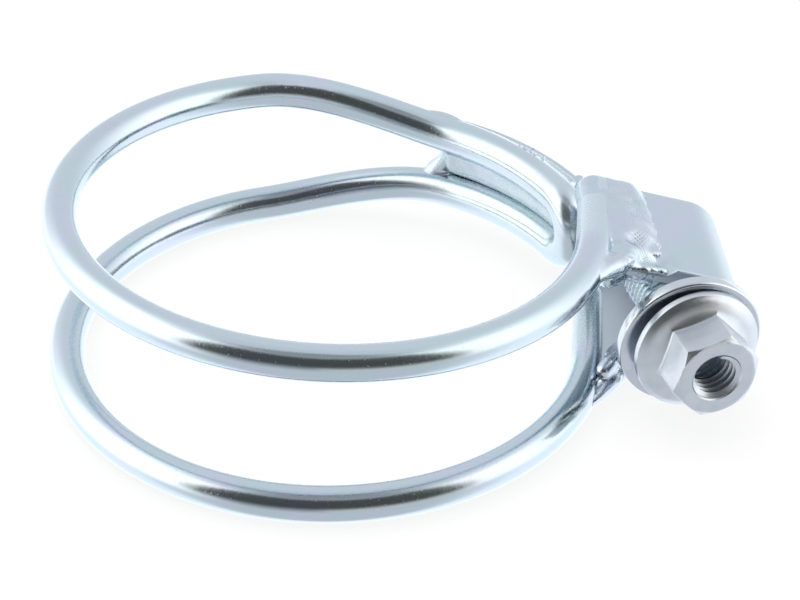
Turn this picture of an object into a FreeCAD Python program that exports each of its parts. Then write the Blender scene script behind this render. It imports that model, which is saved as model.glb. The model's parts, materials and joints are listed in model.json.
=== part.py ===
import FreeCAD, Part
import math
import os

from FreeCAD import Placement, Rotation, Vector

# A pipe clamp made of one wire bent double. Its two strands run round the pipe side by side.
# At the closed end they draw together into a tongue that carries a threaded stud. At the open
# end a folded saddle is welded to them, and a flange nut on the stud pulls the tongue into it.
# Millimetres and degrees. The origin is on the pipe's axis, level with the underside of the
# lower strand, +Z is up along the pipe, and angles run round from +X towards +Y.

# Wire loop
wire_diameter = 6.0
loop_inner_diameter = 80.0
strand_spacing = 24.7          # centre to centre, averaged round the loop
gape = 3.1                     # rise of the upper strand's plane over one loop radius
gape_direction = 229.0         # where the two strands stand widest apart
end_angle = -3.0               # where the loop turns straight towards the wire ends
end_run = 15.8                 # straight run of each wire end

# Tongue, where the two strands draw together
neck_start = 107.0
neck_end = 61.5
tongue_root_width = 17.0       # over both strands, at the neck's end
tongue_tip_width = 16.0        # over both strands, at the turn
tongue_turn_angle = 28.5       # centre of the turn that joins the strands

# Saddle, a strip folded into a U over the stud
saddle_thickness = 3.0
saddle_angle = 6.5             # of the saddle's middle
saddle_front = 14.2            # from the saddle's middle to its front edge
saddle_rake = 2.6              # of the front edge, lower leg set back
saddle_back = 9.0              # from the saddle's middle to its back edge
saddle_reach = 22.6            # from the loop's centre line to the web's outer face
saddle_slope = 17.5            # of each leg towards the stud
saddle_bend_radius = 4.2       # inside
lug_rise = 1.5                 # of saddle and stud towards the nut

# Anchor plate, curved over the tongue's outer side
anchor_thickness = 2.5
anchor_width = 11.0
anchor_start_angle = 25.0
anchor_end_angle = 63.0

# Stud
stud_diameter = 8.0
stud_standoff = 4.8            # from the tongue's outer side to the stud's axis, where it passes closest
stud_angle = 19.0
stud_height = 12.9             # at that place
stud_tail = 14.0               # length behind that place
stud_recess = 5.0              # of its end inside the nut
stud_chamfer = 0.8

# Washer, hanging loose and tilted on the stud
washer_diameter = 23.6
washer_hole_diameter = 9.0
washer_thickness = 2.0
washer_edge = 0.3
washer_lean = 4.5              # sideways, about the upright through the stud's axis
washer_nod = 4.5               # forwards at the top
washer_play = 2.6              # from the saddle's front edge
washer_sag = 0.2               # of its middle below the stud's axis

# Flange nut
nut_play = 0.15                # from the washer
nut_across_flats = 13.0
nut_height = 9.5
nut_flange_diameter = 20.8
nut_flange_rim = 1.3
nut_cone_height = 3.4
nut_cone_top_diameter = 13.6
nut_bore_diameter = 8.1
nut_countersink = 0.5
nut_corner_drop = 0.8          # of the end chamfer at the hexagon's corners
nut_turned = 12.0              # rest position of the hexagon round the stud

# Weld beads
saddle_bead_width = 9.6
saddle_bead_height = 4.2
saddle_bead_overhang = 1.8     # of the bead's front end past the saddle's front edge
anchor_bead_radius = 1.3
anchor_bead_start_angle = 31.5
anchor_end_bead_radius = 1.8
anchor_end_bead_slant = 6.0    # degrees round, from its lower to its upper end
stud_bead_radius = 1.7

# Clearances
seam = 0.1                     # between pieces that are welded together
face_gap = 0.1                 # between faces that rest on each other

wire_radius = wire_diameter / 2
loop_radius = loop_inner_diameter / 2 + wire_radius
stud_offset = loop_radius + wire_radius + stud_standoff
stud_radius = stud_diameter / 2
up = Vector(0, 0, 1)


def along(angle):
    """Unit vector away from the pipe's axis."""
    return Vector(math.cos(math.radians(angle)), math.sin(math.radians(angle)), 0)


def ring_spacing(angle):
    """Distance between the strands where they run side by side."""
    return strand_spacing + gape * math.cos(math.radians(angle - gape_direction))


def mid_height(angle):
    return wire_radius + ring_spacing(angle) / 2


def half_spacing(angle):
    """Half the distance between the strands, from ring to tongue. Angle is 0 to 360."""
    run = (angle - neck_end) / (neck_start - neck_end)
    root = (tongue_root_width - wire_diameter) / 2
    tip = (tongue_tip_width - wire_diameter) / 2
    ring = ring_spacing(angle) / 2
    if run >= 1:
        return ring
    if run > 0:
        blend = run * run * (3 - 2 * run)
        return root + blend * (ring - root)
    taper = (neck_end - angle) / (neck_end - tongue_turn_angle)
    return root + min(taper, 1) * (tip - root)


def strand_point(angle, side):
    """Centre line of the upper (side 1) or lower (side -1) strand."""
    whole = angle if angle > tongue_turn_angle - 1e-6 else angle + 360
    height = mid_height(angle) + side * half_spacing(whole)
    return along(angle) * loop_radius + up * height


def strand_tangent(angle, side):
    """Unit vector along the strand, the way the angle falls."""
    step = 0.01
    run = strand_point(angle - step, side) - strand_point(angle + step, side)
    return run.normalize()


def arc_through(start, corner, end):
    """Arc from start to end whose end tangents meet at the corner."""
    chord = end - start
    reach = (corner - start).Length
    weight = chord.Length / (2 * reach)
    if weight > 0.9999999:
        return Part.LineSegment(start, end).toShape()
    middle = (start + corner * (2 * weight) + end) * (1 / (2 + 2 * weight))
    return Part.Arc(start, middle, end).toShape()


def two_arcs(start, start_way, end, end_way):
    """A smooth pair of arcs between two points with given directions."""
    chord = end - start
    ways = start_way + end_way
    spread = 2 * (1 - start_way.dot(end_way))
    if spread < 1e-9:
        reach = chord.Length / 4
    else:
        pull = chord.dot(ways)
        reach = (math.sqrt(pull * pull + spread * chord.dot(chord)) - pull) / spread
    first = start + start_way * reach
    second = end - end_way * reach
    joint = (first + second) * 0.5
    return [arc_through(start, first, joint), arc_through(joint, second, end)]


def strand_angles():
    """Angles of the points that the arcs of one strand pass through, from wire end to tongue."""
    neck_steps = 4
    loop_steps = 12
    tongue_steps = 2
    loop_turn = 360 + end_angle - neck_start
    angles = [end_angle - loop_turn * k / loop_steps for k in range(loop_steps)]
    angles += [neck_start - 360 - (neck_start - neck_end) * k / neck_steps for k in range(neck_steps)]
    tongue_turn = neck_end - tongue_turn_angle
    angles += [neck_end - 360 - tongue_turn * k / tongue_steps for k in range(tongue_steps)]
    return [angle + 360 if angle < -360 + neck_start + 1e-6 else angle for angle in angles]


def strand_stations(side):
    """Points and directions along one strand, from its straight run to the tongue's turn."""
    stations = [(strand_point(a, side), strand_tangent(a, side)) for a in strand_angles()]
    turn_way = up.cross(along(tongue_turn_angle)) * -1
    stations.append((strand_point(tongue_turn_angle, side), turn_way))
    return stations


def strand_edges(side):
    stations = strand_stations(side)
    start, way = stations[0]
    edges = [Part.LineSegment(start - way * end_run, start).toShape()]
    for (here, here_way), (there, there_way) in zip(stations, stations[1:]):
        edges += two_arcs(here, here_way, there, there_way)
    return edges


def loop_path():
    upper = strand_edges(1)
    lower = strand_edges(-1)
    top = strand_point(tongue_turn_angle, 1)
    bottom = strand_point(tongue_turn_angle, -1)
    ahead = up.cross(along(tongue_turn_angle)) * -1
    nose = (top + bottom) * 0.5 + ahead * ((top - bottom).Length / 2)
    turn = Part.Arc(top, nose, bottom).toShape()
    return Part.Wire(Part.sortEdges(upper + [turn] + lower)[0])


def round_pipe(path, radius):
    """A round bar along a path, with flat ends."""
    edge = path.OrderedEdges[0]
    reversed_edge = edge.Orientation == "Reversed"
    place = edge.LastParameter if reversed_edge else edge.FirstParameter
    centre = edge.valueAt(place)
    section = Part.Wire(Part.Circle(centre, edge.tangentAt(place), radius).toShape())
    return path.makePipeShell([section], True, False)


def saddle_frame():
    """Placement of the saddle: x away from the pipe, y towards the wire ends, z up."""
    turn = Rotation(up, saddle_angle).multiply(Rotation(Vector(1, 0, 0), -lug_rise))
    return Placement(Vector(0, 0, mid_height(saddle_angle)), turn)


def stud_frame():
    """Placement of the stud: its axis leaves along -y, at the origin where it passes closest."""
    turn = Rotation(up, stud_angle).multiply(Rotation(Vector(1, 0, 0), -lug_rise))
    return Placement(along(stud_angle) * stud_offset + up * stud_height, turn)


def washer_frame():
    """Placement of the washer's middle plane, centred where the stud passes closest."""
    lean = Rotation(up, -washer_lean).multiply(Rotation(Vector(1, 0, 0), washer_nod))
    return stud_frame().multiply(Placement(Vector(0, 0, 0), lean))


def placed(shape, frame):
    moved = shape.copy()
    moved.Placement = frame.multiply(moved.Placement)
    return moved


def disc(radius, start, length):
    """A cylinder along -y from a start distance."""
    return Part.makeCylinder(radius, length, Vector(0, -start, 0), Vector(0, -1, 0))


def most_forward(shape, radius, frame):
    """How far a shape reaches along -y of a frame, within a radius of its axis."""
    far = 4 * saddle_reach
    column = placed(disc(radius, -far, 2 * far), frame)
    near = shape.common(column)
    near.Placement = frame.inverse().multiply(near.Placement)
    return -near.optimalBoundingBox(False).YMin


def wire_loop():
    return round_pipe(loop_path(), wire_radius)


def saddle_half_height(distance):
    """Height of a leg's middle over the saddle's centre plane, at a distance from the pipe's axis."""
    drop = math.tan(math.radians(saddle_slope)) * (distance - loop_radius)
    return ring_spacing(saddle_angle) / 2 - drop


def saddle():
    """The folded strip, cut to fit the outer flanks of both strands."""
    inside = loop_radius - wire_diameter
    outside = loop_radius + saddle_reach
    skew = saddle_thickness / 2 / math.cos(math.radians(saddle_slope))
    web = outside - saddle_thickness
    outline = [
        Vector(inside, 0, saddle_half_height(inside) + skew),
        Vector(outside, 0, saddle_half_height(outside) + skew),
        Vector(outside, 0, -saddle_half_height(outside) - skew),
        Vector(inside, 0, -saddle_half_height(inside) - skew),
        Vector(inside, 0, -saddle_half_height(inside) + skew),
        Vector(web, 0, -saddle_half_height(web) + skew),
        Vector(web, 0, saddle_half_height(web) - skew),
        Vector(inside, 0, saddle_half_height(inside) - skew),
    ]
    face = Part.Face(Part.makePolygon(outline + outline[:1]))
    strip = face.extrude(Vector(0, saddle_back + 2 * saddle_front, 0))
    strip.translate(Vector(0, -2 * saddle_front, 0))
    per_radius = math.tan(math.radians(45 - saddle_slope / 2))
    room = 0.9 * (saddle_half_height(outside) + skew) / per_radius
    bend = min(saddle_bend_radius + saddle_thickness, room)
    outer = [e for e in strip.Edges if is_bend(e, outside)]
    strip = strip.makeFillet(bend, outer)
    inner = [e for e in strip.Edges if is_bend(e, web)]
    strip = strip.makeFillet(max(bend - saddle_thickness, saddle_thickness / 10), inner)
    front = disc(2 * outside, 0, 2 * saddle_front)
    rake = Placement(Vector(0, -saddle_front, 0), Rotation(Vector(1, 0, 0), saddle_rake))
    strip = placed(strip.cut(placed(front, rake)), saddle_frame())
    height = 2 * strand_spacing
    core = Part.makeCylinder(loop_radius, 2 * height, Vector(0, 0, -height / 2))
    corner = Part.makeBox(2 * loop_radius, loop_radius, 2 * height, Vector(-loop_radius, 0, -height / 2))
    corner.rotate(Vector(0, 0, 0), up, end_angle)
    bar = round_pipe(loop_path(), wire_radius + seam)
    return strip.cut(core).cut(corner).cut(bar)


def is_bend(edge, distance):
    """Whether an edge is a fold line at a distance from the pipe's axis."""
    box = edge.BoundBox
    lies_there = abs(box.XMin - distance) < 1e-4 and abs(box.XMax - distance) < 1e-4
    return lies_there and box.ZLength < 1e-4 and box.YLength > saddle_back


def anchor_plate():
    """A curved plate over both strands of the tongue."""
    inner = loop_radius + wire_radius + seam
    outer = inner + anchor_thickness
    low = mid_height((neck_end + tongue_turn_angle) / 2) - anchor_width / 2
    sweep = anchor_end_angle - anchor_start_angle
    plate = Part.makeCylinder(outer, anchor_width, Vector(0, 0, low), up, sweep)
    plate = plate.cut(Part.makeCylinder(inner, anchor_width, Vector(0, 0, low)))
    plate.rotate(Vector(0, 0, 0), up, anchor_start_angle)
    return plate


def stud_end():
    """Distance of the stud's front end from where it passes closest."""
    return nut_seat() + nut_height - stud_recess


def stud():
    """The threaded bar, hollowed underneath where it lies on the anchor plate."""
    bar = disc(stud_radius, -stud_tail, stud_tail + stud_end())
    ends = [e for e in bar.Edges if abs(e.BoundBox.YLength) < 1e-6]
    bar = bar.makeChamfer(stud_chamfer, ends)
    bar = placed(bar, stud_frame())
    bed = Part.makeCylinder(loop_radius + wire_radius + anchor_thickness + 2 * seam, 4 * strand_spacing)
    return bar.cut(bed)


def washer_seat():
    """Distance from where the stud passes closest to the washer's middle plane."""
    front = most_forward(saddle(), washer_diameter / 2, washer_frame())
    across = washer_frame().Rotation.multVec(Vector(0, -1, 0))
    way = stud_frame().Rotation.multVec(Vector(0, -1, 0))
    return (front + washer_play + washer_thickness / 2) / across.dot(way)


def washer():
    body = disc(washer_diameter / 2, -washer_thickness / 2, washer_thickness)
    rims = [e for e in body.Edges if abs(e.BoundBox.YLength) < 1e-6]
    body = body.makeFillet(washer_edge, rims)
    body = body.cut(disc(washer_hole_diameter / 2, -washer_thickness, 2 * washer_thickness))
    shift = Placement(Vector(0, -washer_seat(), -washer_sag), Rotation())
    lean = stud_frame().inverse().multiply(washer_frame())
    return placed(placed(body, shift.multiply(lean)), stud_frame())


def nut_seat():
    """Distance from where the stud passes closest to the nut's bearing face."""
    return most_forward(washer(), nut_flange_diameter / 2, stud_frame()) + nut_play


def nut():
    corner_radius = nut_across_flats / math.sqrt(3)
    points = []
    for k in range(7):
        turned = math.radians(60 * k + nut_turned)
        points.append(Vector(corner_radius * math.cos(turned), 0, corner_radius * math.sin(turned)))
    hexagon = Part.Face(Part.makePolygon(points)).extrude(Vector(0, -nut_height, 0))
    flat_radius = nut_across_flats / 2 - nut_corner_drop / 4
    skirt = [
        Vector(0, 0, 0),
        Vector(nut_flange_diameter, 0, 0),
        Vector(nut_flange_diameter, 2 * nut_corner_drop - nut_height, 0),
        Vector(corner_radius, nut_corner_drop - nut_height, 0),
        Vector(flat_radius, -nut_height, 0),
        Vector(0, -nut_height, 0),
    ]
    envelope = Part.Face(Part.makePolygon(skirt + skirt[:1]))
    envelope = envelope.revolve(Vector(0, 0, 0), Vector(0, 1, 0), 360)
    rim = nut_flange_diameter / 2
    flange_outline = [
        Vector(0, 0, 0),
        Vector(rim, 0, 0),
        Vector(rim, -nut_flange_rim, 0),
        Vector(nut_cone_top_diameter / 2, -nut_cone_height, 0),
        Vector(0, -nut_cone_height, 0),
    ]
    flange = Part.Face(Part.makePolygon(flange_outline + flange_outline[:1]))
    flange = flange.revolve(Vector(0, 0, 0), Vector(0, 1, 0), 360)
    body = hexagon.common(envelope).fuse(flange).removeSplitter()
    bore = disc(nut_bore_diameter / 2, -1, nut_height + 2)
    wide = nut_bore_diameter / 2 + nut_countersink
    mouth = Part.makeCone(wide, wide - 2 * nut_countersink, 2 * nut_countersink)
    mouth.rotate(Vector(0, 0, 0), Vector(1, 0, 0), -90)
    mouth.translate(Vector(0, -nut_height, 0))
    body = body.cut(bore).cut(mouth)
    return placed(placed(body, Placement(Vector(0, -nut_seat(), 0), Rotation())), stud_frame())


def capsule(start, end, half_width, half_height, tilt):
    """A level bar of oval section between two points, with domed ends."""
    way = (end - start).normalize()
    wide = Rotation(way, tilt).multVec(way.cross(up).normalize())
    tall = way.cross(wide)
    length = (end - start).Length
    slant = half_width * math.sqrt(0.5)
    near = Part.Arc(
        Vector(0, 0, -half_width), Vector(slant, 0, -slant), Vector(half_width, 0, 0)
    )
    side = Part.LineSegment(Vector(half_width, 0, 0), Vector(half_width, 0, length))
    far = Part.Arc(
        Vector(half_width, 0, length),
        Vector(slant, 0, length + slant),
        Vector(0, 0, length + half_width),
    )
    axis = Part.LineSegment(Vector(0, 0, length + half_width), Vector(0, 0, -half_width))
    outline = Part.Wire([part.toShape() for part in (near, side, far, axis)])
    body = Part.Face(outline).revolve(Vector(0, 0, 0), Vector(0, 0, 1), 360)
    flatten = FreeCAD.Matrix()
    flatten.scale(1, half_height / half_width, 1)
    body = body.transformGeometry(flatten)
    return placed(body, Placement(start, Rotation(wide, tall, way, "XYZ")))


def saddle_weld(side):
    """Bead over the joint between a wire end's outer flank and a leg of the saddle."""
    half_width = saddle_bead_width / 2
    outward = loop_radius + half_width
    rise = (saddle_bead_height - saddle_thickness) / 2 + face_gap
    height = side * (saddle_half_height(outward) + rise)
    reach = saddle_front + saddle_bead_overhang - half_width
    front = saddle_frame().multVec(Vector(outward, -reach, height))
    back = saddle_frame().multVec(Vector(outward, saddle_back - half_width / 2, height))
    return capsule(front, back, half_width, saddle_bead_height / 2, side * saddle_slope)


def arc_bead(radius, distance, low_angle, high_angle, height):
    """A round bead that follows the loop, with domed ends."""
    places = [low_angle, (low_angle + high_angle) / 2, high_angle]
    points = [along(a) * distance + up * height for a in places]
    bar = round_pipe(Part.Wire(Part.Arc(*points).toShape()), radius)
    domes = [Part.makeSphere(radius, points[0]), Part.makeSphere(radius, points[2])]
    return bar.fuse(domes).removeSplitter()


def anchor_weld(side):
    """Bead between a strand of the tongue and the anchor plate's edge."""
    middle_angle = (neck_end + tongue_turn_angle) / 2
    height = mid_height(middle_angle) + side * (anchor_width / 2 - anchor_bead_radius / 4)
    distance = loop_radius + wire_radius + anchor_bead_radius / 4
    apart = anchor_bead_radius + anchor_end_bead_radius + face_gap
    end_bead_angle = anchor_end_angle - anchor_end_bead_slant / 2
    end = end_bead_angle - math.degrees(apart / distance)
    return arc_bead(anchor_bead_radius, distance, anchor_bead_start_angle, end, height)


def anchor_end_weld():
    """Bead that slants from strand to strand across the anchor plate's far end."""
    distance = loop_radius + wire_radius - anchor_end_bead_radius / 2
    middle_height = mid_height(anchor_end_angle)
    reach = half_spacing(anchor_end_angle) - wire_radius
    low_angle = anchor_end_angle + anchor_end_bead_slant / 2
    low = along(low_angle) * distance + up * (middle_height - reach)
    high = along(low_angle - anchor_end_bead_slant) * distance + up * (middle_height + reach)
    bar = round_pipe(Part.Wire(Part.LineSegment(low, high).toShape()), anchor_end_bead_radius)
    domes = [Part.makeSphere(anchor_end_bead_radius, p) for p in (low, high)]
    return bar.fuse(domes).removeSplitter()


def stud_weld(side):
    """Bead between the stud and the anchor plate."""
    bed = loop_radius + wire_radius + anchor_thickness
    aside = stud_radius + stud_bead_radius / 3
    plate_start = stud_offset * math.tan(math.radians(anchor_start_angle - stud_angle))
    points = []
    for reach in (stud_bead_radius - stud_tail, -stud_bead_radius - plate_start):
        spot = stud_frame().multVec(Vector(0, -reach, side * aside))
        level = Vector(spot.x, spot.y, 0).normalize() * (bed + stud_bead_radius / 3)
        points.append(Vector(level.x, level.y, spot.z))
    bar = round_pipe(Part.Wire(Part.LineSegment(*points).toShape()), stud_bead_radius)
    domes = [Part.makeSphere(stud_bead_radius, p) for p in points]
    return bar.fuse(domes).removeSplitter()


def report(name, shape):
    box = shape.BoundBox
    low = (round(box.XMin, 2), round(box.YMin, 2), round(box.ZMin, 2))
    high = (round(box.XMax, 2), round(box.YMax, 2), round(box.ZMax, 2))
    state = "valid" if shape.isValid() else "broken"
    print(name, state, len(shape.Solids), "solid", round(shape.Volume, 1), "mm3", low, high)


pieces = {
    "wire_loop": wire_loop(),
    "saddle": saddle(),
    "anchor_plate": anchor_plate(),
    "stud": stud(),
    "washer": washer(),
    "flange_nut": nut(),
    "saddle_weld_upper": saddle_weld(1),
    "saddle_weld_lower": saddle_weld(-1),
    "anchor_weld_upper": anchor_weld(1),
    "anchor_weld_lower": anchor_weld(-1),
    "anchor_weld_end": anchor_end_weld(),
    "stud_weld_upper": stud_weld(1),
    "stud_weld_lower": stud_weld(-1),
}

os.makedirs("parts", exist_ok=True)
for piece_name, piece in pieces.items():
    report(piece_name, piece)
    solid = piece.Solids[0] if len(piece.Solids) == 1 else piece
    solid.exportStep("parts/" + piece_name + ".step")

path_length = loop_path().Length
section = math.pi * wire_radius ** 2
stud_way = stud_frame().Rotation.multVec(Vector(0, -1, 0))
print("wire length", round(path_length, 2), "times section", round(path_length * section, 1))
print("stud axis through", stud_frame().Base, "towards", stud_way)
print("washer seat", round(washer_seat(), 3), "nut seat", round(nut_seat(), 3))
print("stud end", round(stud_end(), 3), "from where it passes closest")
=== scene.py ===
import json
from functools import partial
from math import atan2, ceil, cos, degrees, exp, floor, hypot, pi, radians, sin, sqrt, tan
import bmesh
import bpy
from mathutils import Matrix, Vector, noise

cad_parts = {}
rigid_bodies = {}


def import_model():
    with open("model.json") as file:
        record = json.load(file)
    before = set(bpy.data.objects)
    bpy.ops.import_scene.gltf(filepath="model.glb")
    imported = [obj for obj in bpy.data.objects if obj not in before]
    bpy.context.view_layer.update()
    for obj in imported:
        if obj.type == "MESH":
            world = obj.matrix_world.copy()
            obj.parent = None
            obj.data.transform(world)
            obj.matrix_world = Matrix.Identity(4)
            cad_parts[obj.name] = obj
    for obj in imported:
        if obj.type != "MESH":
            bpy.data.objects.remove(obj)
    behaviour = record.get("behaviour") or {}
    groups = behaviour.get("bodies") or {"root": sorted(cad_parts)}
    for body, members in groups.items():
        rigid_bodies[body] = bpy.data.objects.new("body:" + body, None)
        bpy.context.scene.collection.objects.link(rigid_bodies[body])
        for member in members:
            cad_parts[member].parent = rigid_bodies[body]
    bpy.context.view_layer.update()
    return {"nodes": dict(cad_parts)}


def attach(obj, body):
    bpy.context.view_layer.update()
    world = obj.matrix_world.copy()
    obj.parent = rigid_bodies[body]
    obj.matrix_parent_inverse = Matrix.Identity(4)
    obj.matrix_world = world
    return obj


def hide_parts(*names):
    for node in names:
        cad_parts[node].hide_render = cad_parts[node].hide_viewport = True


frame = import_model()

mm = 0.001
print("frame loaded:", ", ".join(sorted(frame["nodes"])))


# the wire's line, which everything else is placed by

wire = {
    "radius": 3.0 * mm,
    "loopRadius": 43.0 * mm,  # pipe's axis to the wire's middle
    "spacing": 24.7 * mm,  # strand to strand, averaged round the loop
    "gape": 3.1 * mm,  # how much wider one side stands than the middle
    "gapeDirection": 229.0,
    "endAngle": -3.0,  # where the strands run straight to their ends
    "endRun": 15.8 * mm,
    "neckStart": 107.0,  # the strands draw together between these
    "neckEnd": 61.5,
    "rootWidth": 17.0 * mm,  # over both strands
    "tipWidth": 16.0 * mm,
    "turnAngle": 28.5,  # middle of the tongue's turn
    "sides": 48, "ringGap": 1.1 * mm, "turnRings": 24, "endChamfer": 0.4 * mm,
    "dullReach": 17.0 * mm,  # of the skin that bending roughened, from the turn's middle
    "dullShare": 0.12,
    "filmReach": 22.0 * mm,  # of the milky film on the inner flank, from each end
    "filmEdge": 6.0 * mm, "filmShare": 0.6,
}

up = Vector((0, 0, 1))


def spread(start, end, steps):
    return [start + (end - start) * k / steps for k in range(steps + 1)]


def along(angle):
    return Vector((cos(radians(angle)), sin(radians(angle)), 0))


def ringSpacing(angle):
    return wire["spacing"] + wire["gape"] * cos(radians(angle - wire["gapeDirection"]))


def midHeight(angle):
    return wire["radius"] + ringSpacing(angle) / 2


def halfSpacing(angle):
    root = wire["rootWidth"] / 2 - wire["radius"]
    tip = wire["tipWidth"] / 2 - wire["radius"]
    run = (angle - wire["neckEnd"]) / (wire["neckStart"] - wire["neckEnd"])
    if run >= 1:
        return ringSpacing(angle) / 2
    if run > 0:
        return root + run * run * (3 - 2 * run) * (ringSpacing(angle) / 2 - root)
    taper = (wire["neckEnd"] - angle) / (wire["neckEnd"] - wire["turnAngle"])
    return root + min(taper, 1) * (tip - root)


def strandPoint(angle, side):
    whole = angle if angle > wire["turnAngle"] - 1e-6 else angle + 360
    return along(angle) * wire["loopRadius"] + up * (midHeight(angle) + side * halfSpacing(whole))


def strandLine(side):
    # (point, outward) from a wire end to the tongue's turn
    start = strandPoint(wire["endAngle"], side)
    way = (strandPoint(wire["endAngle"] - 0.01, side) - start).normalized()
    outward = along(wire["endAngle"])
    straight = round(wire["endRun"] / wire["ringGap"])
    line = [(start - way * wire["endRun"] * (1 - k / straight), outward) for k in range(straight)]
    sweepAngle = 360 + wire["endAngle"] - wire["turnAngle"]
    steps = round(radians(sweepAngle) * wire["loopRadius"] / wire["ringGap"])
    for angle in spread(wire["endAngle"], wire["endAngle"] - sweepAngle, steps):
        line.append((strandPoint(angle, side), along(angle)))
    return line


def wireLine():
    upper = strandLine(1)
    lower = strandLine(-1)
    top, outward = upper[-1]
    bottom = lower[-1][0]
    ahead = along(wire["turnAngle"]).cross(up)
    middle = (top + bottom) / 2
    reach = (top - bottom).length / 2
    turn = []
    for a in spread(0, pi, wire["turnRings"])[1:-1]:
        turn.append((middle + ahead * reach * sin(a) + up * reach * cos(a), outward))
    return upper + turn + lower[::-1]


# helpers that make the meshes

mergeGap = 0.002 * mm


def addObject(name, data):
    made = bpy.data.objects.new(name, data)
    bpy.context.scene.collection.objects.link(made)
    return made


def finishMesh(name, bm, body, stands, material, smoothAngle=40):
    # merge, face outwards, shade smooth but for real edges, and seat the piece in the frame
    bmesh.ops.remove_doubles(bm, verts=bm.verts, dist=mergeGap)
    bmesh.ops.recalc_face_normals(bm, faces=bm.faces)
    mesh = bpy.data.meshes.new(name)
    bm.to_mesh(mesh)
    bm.free()
    mesh.polygons.foreach_set("use_smooth", [True] * len(mesh.polygons))
    mesh.set_sharp_from_angle(angle=radians(smoothAngle))
    mesh.materials.append(material)
    piece = addObject(name, mesh)
    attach(piece, body)
    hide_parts(*stands)
    print(" ", name, len(mesh.polygons), "faces")


def markWorked(bm, shareOf):
    # how dull and milky the skin is at each point, for the material
    layer = bm.verts.layers.float.new("worked")
    for k, vert in enumerate(bm.verts):
        vert[layer] = shareOf(k, vert.co)


def sweptSkin(bm, stations, ringCount, place, closeEnds=True):
    # one ring is extruded from station to station; place(station, turn) sets each point
    turnLayer = bm.verts.layers.float.new("turn")
    ring = bmesh.ops.create_circle(bm, segments=ringCount, radius=mm)["verts"]
    for k, vert in enumerate(ring):
        vert[turnLayer] = k / ringCount
    edges = firstEdges = bm.edges[:]
    for k, station in enumerate(stations):
        if k:
            grown = bmesh.ops.extrude_edge_only(bm, edges=edges)["geom"]
            edges = [g for g in grown if isinstance(g, bmesh.types.BMEdge)]
            ring = [g for g in grown if isinstance(g, bmesh.types.BMVert)]
        for vert in ring:
            vert.co = place(station, vert[turnLayer])
    if closeEnds:
        bmesh.ops.edgeloop_fill(bm, edges=firstEdges)
        bmesh.ops.edgeloop_fill(bm, edges=edges)


def easeIn(value, low, high):
    share = min(max((value - low) / (high - low), 0), 1)
    return share * share * (3 - 2 * share)


def lineFrames(line):
    # (distance, point, across, beside) at each point of a line, across lying along its outward
    frames = []
    distance = 0
    for k, (point, outward) in enumerate(line):
        before = line[max(k - 1, 0)][0]
        after = line[min(k + 1, len(line) - 1)][0]
        way = (after - before).normalized()
        across = (outward - way * outward.dot(way)).normalized()
        if k:
            distance += (point - before).length
        frames.append((distance, point, across, way.cross(across)))
    return frames


# materials

def hexColour(text):
    # an sRGB hex value turned linear
    parts = [int(text[k:k + 2], 16) / 255 for k in (1, 3, 5)]
    return [c / 12.92 if c <= 0.04045 else ((c + 0.055) / 1.055) ** 2.4 for c in parts] + [1]


def addNode(tree, kind, settings=None, links=None):
    # a link comes from a socket, or from a node's first output
    node = tree.nodes.new("ShaderNode" + kind)
    for key, value in (settings or {}).items():
        if isinstance(key, int) or key in node.inputs:
            node.inputs[key].default_value = value
        else:
            setattr(node, key, value)
    for key, source in (links or {}).items():
        tree.links.new(getattr(source, "outputs", [source])[0], node.inputs[key])
    return node


def colourSteps(add, factor, steps):
    ramp = add("ValToRGB", {}, {"Fac": factor})
    elements = ramp.color_ramp.elements
    while len(elements) < len(steps):
        elements.new(0.5)
    for element, (place, colour) in zip(elements, steps):
        element.position = place
        element.color = hexColour(colour) if isinstance(colour, str) else [colour] * 3 + [1]
    return ramp


def newMaterial(name):
    material = bpy.data.materials.new(name)
    material.use_nodes = True
    material.node_tree.nodes.clear()
    return material, partial(addNode, material.node_tree)


brightZinc = {
    "tints": ["#BECAD4", "#C1CCD6", "#BECED4", "#C3CBD8", "#C3CCD7"],
    "tintSize": 16.0,  # mm, clouds of the passivation's colour
    "tintSpread": (0.28, 0.72),
    "grain": 0.30,  # mm, the plating's crystals
    "grainDepth": 0.0030, "grainSpread": (0.35, 0.65),
    "peel": 2.2,  # mm, slow waviness of the drawn wire
    "peelDepth": 0.010,
    "drawn": 0.7,  # mm, from one line of the drawing die to the next
    "drawnDepth": 0.0, "drawnStretch": 0.02,
    "speckSize": 0.55,  # mm, from one dull speck to the next, coarse enough to show
    "speckRim": (0.10, 0.20), "speckShare": 0.45, "roughLow": 0.14, "roughHigh": 0.22,
    "speckRough": 0.50,
    "workedRough": 0.26,  # added where the metal was bent, sheared or left unpolished
    "film": 0.75,  # share of milky film there
}


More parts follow.
